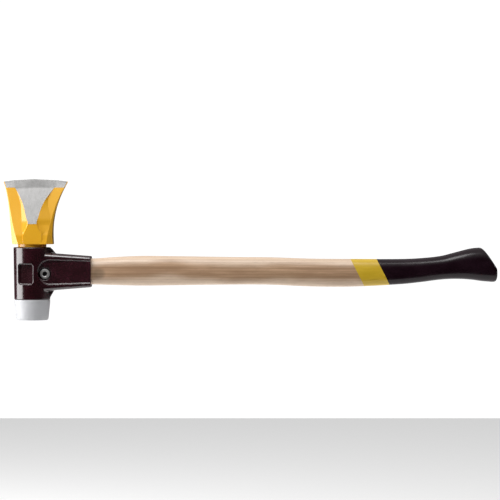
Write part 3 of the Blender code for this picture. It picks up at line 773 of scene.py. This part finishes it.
# painted shade: the faces inside the hex socket get the dark steel finish, standing in for the shade deep in
# the recess
for face in mesh.polygons:
    off_axis = math.hypot(face.center.x - SCREW_X, face.center.z - SCREW_Z)
    depth = face.center.y - HEAD_FACE_Y
    if off_axis < HEX_FLATS * 0.56 and 0.0006 < depth < HEX_DEPTH + 0.0001:
        face.material_index = 1
bevel(screw, 0.00018, 2, 40.0)
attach(screw, "screw")
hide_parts("clamp_screw")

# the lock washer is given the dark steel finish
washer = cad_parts["lock_washer"]
washer.data.materials.clear()
washer.data.materials.append(dark_steel)

nut_blank = made_object("nut_blank", cylinder(NUT_FLATS / math.sqrt(3.0), (SCREW_X, NUT_LOW.y, SCREW_Z),
                                              (SCREW_X, NUT_HIGH.y, SCREW_Z), 6))
tall = NUT_HIGH.y - NUT_LOW.y
crown_profile = [
    (0.0, 0.0), (NUT_FLATS * 0.5, 0.0), (0.0100, -0.0011), (0.0100, 0.0011 - tall),
    (NUT_FLATS * 0.5, -tall), (0.0, -tall),
]
crown = made_object("crown", facing_minus_y(lathe(crown_profile, 64), NUT_LOW.y))
eye = made_object("eye", cylinder(SCREW_RADIUS + GAP, (SCREW_X, 0.0, SCREW_Z), (SCREW_X, 0.03, SCREW_Z), 48))
mesh = evaluated(carve(nut_blank, [(crown, "INTERSECT"), (eye, "DIFFERENCE")]))
for spent in (crown, eye):
    bpy.data.objects.remove(spent, do_unlink=True)
mesh.materials.clear()
nut = dress("clamp_hex_nut", mesh, "clamp_half", (zinc,), 30.0)
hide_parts("clamp_nut")


# ---------------------------------------------------------------- splitting wedge
WEDGE_CENTRE = 0.0020
RIDGE_LEFT = ((0.1434, 0.0165), (0.1627, 0.0086), (0.1748, 0.0119), (0.1857, 0.0144), (0.1977, 0.0181),
              (0.2050, 0.0212), (0.2134, 0.0254), (0.2237, 0.0316))
RIDGE_RIGHT = ((0.1434, 0.0148), (0.1627, 0.0064), (0.1736, 0.0090), (0.1845, 0.0120), (0.1953, 0.0161),
               (0.2014, 0.0191), (0.2086, 0.0240), (0.2237, 0.0349))
FLUTE_LEFT = ((0.1434, 0.0168), (0.1540, 0.0186), (0.1720, 0.0196), (0.1900, 0.0206), (0.2000, 0.0222),
              (0.2100, 0.0258), (0.2237, 0.0322))
FLUTE_RIGHT = ((0.1434, 0.0151), (0.1482, 0.0196), (0.1548, 0.0254), (0.1625, 0.0285), (0.1724, 0.0292),
               (0.1830, 0.0272), (0.1913, 0.0252), (0.2001, 0.0244), (0.2120, 0.0266), (0.2237, 0.0353))


def left_side(z):
    t = (z - WEDGE_BASE) / (EDGE_PEAK - WEDGE_BASE)
    return -0.0332 - 0.0095 * t - 0.0074 * t**4.0


def right_side(z):
    t = (z - WEDGE_BASE) / (EDGE_PEAK - WEDGE_BASE)
    return 0.0350 - 0.0098 * t + 0.0380 * t**2.15


def centre_half(z):
    if z < RIDGE_FOOT_Z:
        return mix(BASE_HALF_THICK, FOOT_HALF_THICK, (z - WEDGE_BASE) / (RIDGE_FOOT_Z - WEDGE_BASE))
    return mix(FOOT_HALF_THICK, BAND_HALF_THICK, (z - RIDGE_FOOT_Z) / (BAND_Z - RIDGE_FOOT_Z))


def cheek_half(z):
    """Half thickness of the painted cheeks: a short upright base, then one straight slope."""
    if z < NOTCH_Z:
        return mix(BASE_HALF_THICK, NOTCH_HALF_THICK, (z - WEDGE_BASE) / (NOTCH_Z - WEDGE_BASE))
    return mix(NOTCH_HALF_THICK, BAND_HALF_THICK, (z - NOTCH_Z) / (BAND_Z - NOTCH_Z))


def ridge_and_flute(z, ridge, flute):
    """Half widths of the raised face and of the flute line on one side; straight below the notch."""
    at = max(z, NOTCH_Z)
    edge = through(ridge, at, 1)
    return edge, max(through(flute, at, 1), edge + 0.0003)


def chamfer_width(z):
    return 0.0012 + 0.0095 * max(0.0, (BAND_Z - z) / (BAND_Z - WEDGE_BASE)) ** 2.6


def wedge_ring(z):
    """One level section, from the -X flank round the -Y face and back."""
    chamfer = chamfer_width(z)
    left, right = left_side(z), right_side(z)
    top, rim = centre_half(z), min(centre_half(z), cheek_half(z))
    face = [(left, rim - 0.85 * chamfer), (left + chamfer, rim)]
    halves = []
    for ridge, flute, limit in (
        (RIDGE_LEFT, FLUTE_LEFT, WEDGE_CENTRE - left - chamfer - 0.0006),
        (RIDGE_RIGHT, FLUTE_RIGHT, right - chamfer - WEDGE_CENTRE - 0.0006),
    ):
        edge, line = ridge_and_flute(z, ridge, flute)
        line = min(line, limit)
        wall_end = 1.0 - ease(RIDGE_FOOT_Z, RIDGE_FOOT_Z + 0.004, z)
        wall = 0.0013 * ease(NOTCH_Z, NOTCH_Z + 0.006, z) * wall_end
        foot = min(edge + 0.0002 + wall, line - 0.0001)
        drop_end = 1.0 - ease(RIDGE_FOOT_Z - 0.002, RIDGE_FOOT_Z + 0.008, z)
        drop = 0.45 * ease(NOTCH_Z, NOTCH_Z + 0.008, z) * drop_end
        share = (line - foot) / max(1e-6, line - edge)
        halves.append((edge, foot, line, mix(rim, top, share * (1.0 - drop))))
    (el, fl, ll, yl), (er, fr, lr, yr) = halves
    c = WEDGE_CENTRE
    face += [(c - ll, rim), (c - fl, yl), (c - el, top), (c, top), (c + er, top), (c + fr, yr), (c + lr, rim)]
    face += [(right - chamfer, rim), (right, rim - 0.85 * chamfer)]
    return [(x, -y, z) for x, y in face] + [(x, y, z) for x, y in reversed(face)]


def edge_ring(t):
    """One section of the ground edge, from the band line (0) to the cutting edge (1)."""
    points = []
    for x, y, _ in wedge_ring(BAND_Z):
        side = left_side(EDGE_PEAK - 0.0037) if x < WEDGE_CENTRE else right_side(EDGE_PEAK - 0.0049)
        base = left_side(BAND_Z) if x < WEDGE_CENTRE else right_side(BAND_Z)
        top_x = WEDGE_CENTRE + (x - WEDGE_CENTRE) / (base - WEDGE_CENTRE) * (side - WEDGE_CENTRE)
        top_z = EDGE_PEAK - (top_x - EDGE_CENTRE_X) ** 2 / (2.0 * EDGE_RADIUS)
        thick = mix(abs(y), EDGE_HALF_THICK, t)
        points.append((mix(x, top_x, t), math.copysign(thick, y), mix(BAND_Z, top_z, t)))
    return points


wedge_bm = bmesh.new()
levels = [mix(WEDGE_BASE, NOTCH_Z, i / 8.0) for i in range(8)]
levels += [mix(NOTCH_Z, RIDGE_FOOT_Z, i / 14.0) for i in range(14)]
levels += [mix(RIDGE_FOOT_Z, BAND_Z, i / 34.0) for i in range(35)]
rings = [(z, add_ring(wedge_bm, wedge_ring(z))) for z in levels]
edge_steps = (0.12, 0.25, 0.4, 0.55, 0.7, 0.85, 1.0)
rings += [(BAND_Z + t * 0.01, add_ring(wedge_bm, edge_ring(t))) for t in edge_steps]
half_count = 11
last = 2 * half_count - 1
for (z, lower), (_, upper) in zip(rings, rings[1:]):
    faces = bridge(wedge_bm, lower, upper)
    for i, face in enumerate(faces):
        mirrored = i if i < half_count else last - 1 - i
        on_ridge = mirrored in (4, 5) and z >= RIDGE_FOOT_Z - 1e-6
        on_band = 1 <= mirrored <= 8 and z >= BAND_Z - 1e-6
        face.material_index = 1 if on_ridge or on_band else 0
for index, (_, ring) in enumerate((rings[0], rings[-1])):
    for i in range(half_count - 1):
        face = wedge_bm.faces.new((ring[i], ring[i + 1], ring[last - 1 - i], ring[last - i]))
        face.material_index = index
wedge = made_object("wedge_forging", wedge_bm, None, (yellow, ground), 14.0, 2e-6)
bevel(wedge, 0.00045, 3, 13.0)
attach(wedge, "wedge")
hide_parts("splitting_wedge")

neck_profile = rounded(
    [(0.0, WEDGE_BASE + 0.003), (NECK_RADIUS, WEDGE_BASE + 0.003), (NECK_RADIUS, HOUSING_TOP + GAP),
     (SHANK_RADIUS, HOUSING_TOP + GAP), (SHANK_RADIUS, WEDGE_LOW.z), (0.0, WEDGE_LOW.z)], 0.0008)
neck = made_object("wedge_neck", lathe(neck_profile, 96, (HEAD_X, 0.0)), "wedge", (yellow,), 40.0)


# ---------------------------------------------------------------- striking insert
insert_profile = rounded(
    [(0.0, INSERT_HIGH.z), (SHANK_RADIUS, INSERT_HIGH.z), (SHANK_RADIUS, 0.0345), (0.0302, 0.0345),
     (0.0302, 0.0312), (0.0289, 0.0180), (0.0274, 0.0030), (0.0262, 0.0), (0.0, 0.0)], 0.0009)
insert = made_object("insert_face", lathe(insert_profile, 128, (HEAD_X, 0.0)), "insert", (polymer,), 40.0)
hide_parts("striking_insert")


# ---------------------------------------------------------------- stage, camera and light
floor_bm = bmesh.new()
corners = ((-2.5, -0.45, -0.40), (3.2, -0.45, -0.40), (3.2, 3.0, -0.40), (-2.5, 3.0, -0.40))
floor_bm.faces.new([floor_bm.verts.new(c) for c in corners])
paper = bpy.data.materials.new("paper_white")
paper.use_nodes = True
sheet = paper.node_tree.nodes["Principled BSDF"]
sheet.inputs["Base Color"].default_value = (0.90, 0.90, 0.90, 1.0)
sheet.inputs["Roughness"].default_value = 0.9
sheet.inputs["Emission Color"].default_value = (1.0, 1.0, 1.0, 1.0)
sheet.inputs["Emission Strength"].default_value = 0.20
floor = made_object("floor", floor_bm, None, (paper,))

world = bpy.data.worlds.new("studio")
bpy.context.scene.world = world
world.use_nodes = True
tree = world.node_tree
background = tree.nodes["Background"]
direction = tree.nodes.new("ShaderNodeTexCoord")
split = tree.nodes.new("ShaderNodeSeparateXYZ")
tree.links.new(direction.outputs["Generated"], split.inputs[0])


def world_part(axis, low, high, strength):
    node = tree.nodes.new("ShaderNodeMapRange")
    node.interpolation_type = "SMOOTHSTEP"
    node.inputs["From Min"].default_value = low
    node.inputs["From Max"].default_value = high
    node.inputs["To Min"].default_value = 0.0
    node.inputs["To Max"].default_value = strength
    tree.links.new(split.outputs[axis], node.inputs["Value"])
    return node.outputs[0]


def world_math(operation, a, b):
    node = tree.nodes.new("ShaderNodeMath")
    node.operation = operation
    for value, socket in zip((a, b), node.inputs):
        if hasattr(value, "is_output"):
            tree.links.new(value, socket)
        else:
            socket.default_value = value
    return node.outputs[0]


above = world_part("Z", 0.30, 0.85, 0.60)
seen = tree.nodes.new("ShaderNodeLightPath").outputs["Is Camera Ray"]
room = world_math("ADD", above, 0.03)
tree.links.new(world_math("MAXIMUM", room, world_math("MULTIPLY", seen, 1.05)), background.inputs["Strength"])
background.inputs["Color"].default_value = (1.0, 1.0, 1.0, 1.0)


def softbox(name, place, aim, size_x, size_y, power):
    light = bpy.data.lights.new(name, "AREA")
    light.shape = "RECTANGLE"
    light.size = size_x
    light.size_y = size_y
    light.energy = power
    lamp = bpy.data.objects.new(name, light)
    lamp.location = place
    lamp.rotation_euler = (Vector(aim) - Vector(place)).to_track_quat("-Z", "Y").to_euler()
    bpy.context.scene.collection.objects.link(lamp)
    return lamp


softbox("left_box", (-1.29, -0.11, 0.15), (0.0, 0.0, 0.12), 1.15, 1.15, 20.0)
softbox("top_box", (-0.45, -1.10, 2.0), (0.30, 0.0, 0.1), 2.2, 0.9, 44.0)

camera_data = bpy.data.cameras.new("camera")
camera = bpy.data.objects.new("camera", camera_data)
bpy.context.scene.collection.objects.link(camera)
bpy.context.scene.camera = camera
DISTANCE = 5.0
LOOK_DOWN = math.radians(1.2)
target = Vector((0.3672, 0.0, 0.1183))
back = Vector((0.0, -math.cos(LOOK_DOWN), math.sin(LOOK_DOWN)))
camera.location = target + back * DISTANCE
camera.rotation_euler = (-back).to_track_quat("-Z", "Y").to_euler()
camera_data.sensor_width = 36.0
camera_data.lens = 36.0 * DISTANCE / 0.845
camera_data.clip_start = 0.1
camera_data.clip_end = 40.0
bpy.context.scene.view_settings.view_transform = "Standard"

bpy.context.view_layer.update()
